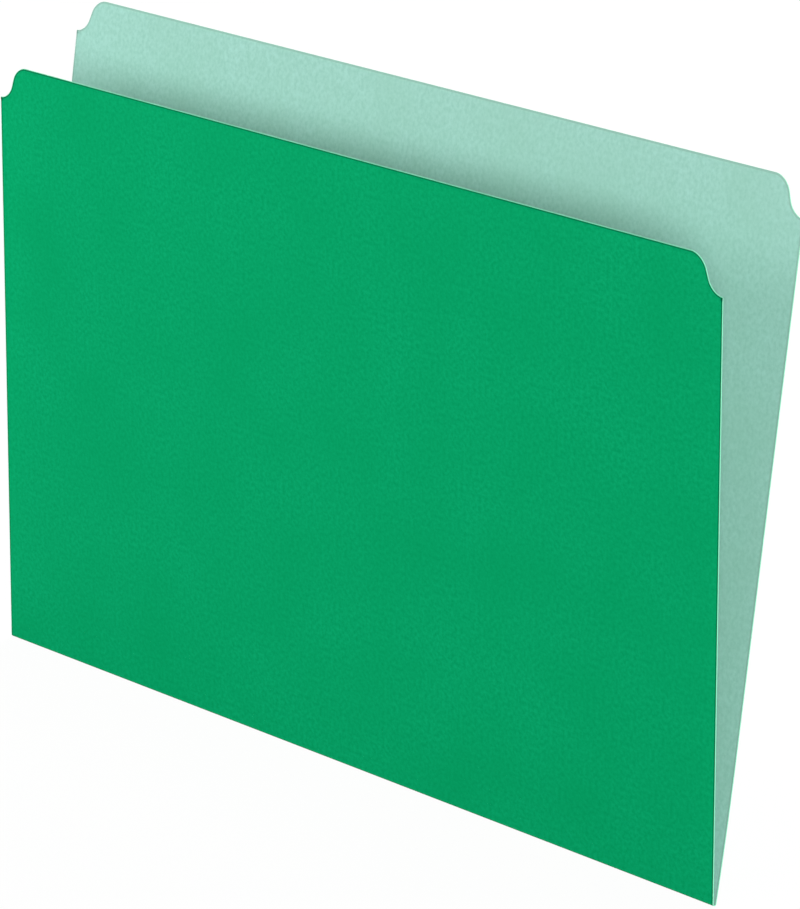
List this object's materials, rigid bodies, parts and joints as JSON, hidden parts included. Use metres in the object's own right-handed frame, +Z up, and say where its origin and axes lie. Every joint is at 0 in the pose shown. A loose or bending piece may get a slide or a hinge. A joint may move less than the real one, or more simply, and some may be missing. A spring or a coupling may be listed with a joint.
{
  "type": "file folder",
  "caption": "Folded card file folder with notched full-width tabs on both leaves, a hinged front leaf and an expanding scored base.",
  "frame": {"origin": "on the floor, in the middle of the footprint of the folder standing a little open on its fold", "axes": "+X along the fold, +Y from the upright front leaf to the leaning back leaf, +Z up from the fold to the tabs"},
  "size_m": [0.3746, 0.0376, 0.2385],
  "materials": {
    "green_board": "matte",
    "mint_board": "matte"
  },
  "bodies": {
    "fold": {"main_fold": "green_board"},
    "back": {"back_leaf": "mint_board"},
    "foot": {"expansion_strip_1": "green_board", "score_crease_1": "green_board", "expansion_strip_2": "green_board", "score_crease_2": "green_board", "expansion_strip_3": "green_board", "score_crease_3": "green_board"},
    "front": {"front_leaf": "green_board"}
  },
  "joints": [
    {"name": "cover_swing", "type": "hinge", "parent": "fold", "child": "back", "pos_m": [0, -0.01805, 0.0008], "axis": [-1, 0, 0], "range_deg": [-8.8, 171.6]},
    {"name": "base_open", "type": "hinge", "parent": "fold", "child": "foot", "pos_m": [0, -0.01805, 0.0008], "axis": [1, 0, 0], "range_deg": [0, 90]},
    {"name": "score_bend", "type": "hinge", "parent": "foot", "child": "front", "pos_m": [0, -0.01861, 0.0181], "axis": [1, 0, 0], "range_deg": [-90, 0]}
  ],
  "couplings": [
    {"joint": "score_bend", "follows": "base_open", "ratio": -1}
  ]
}
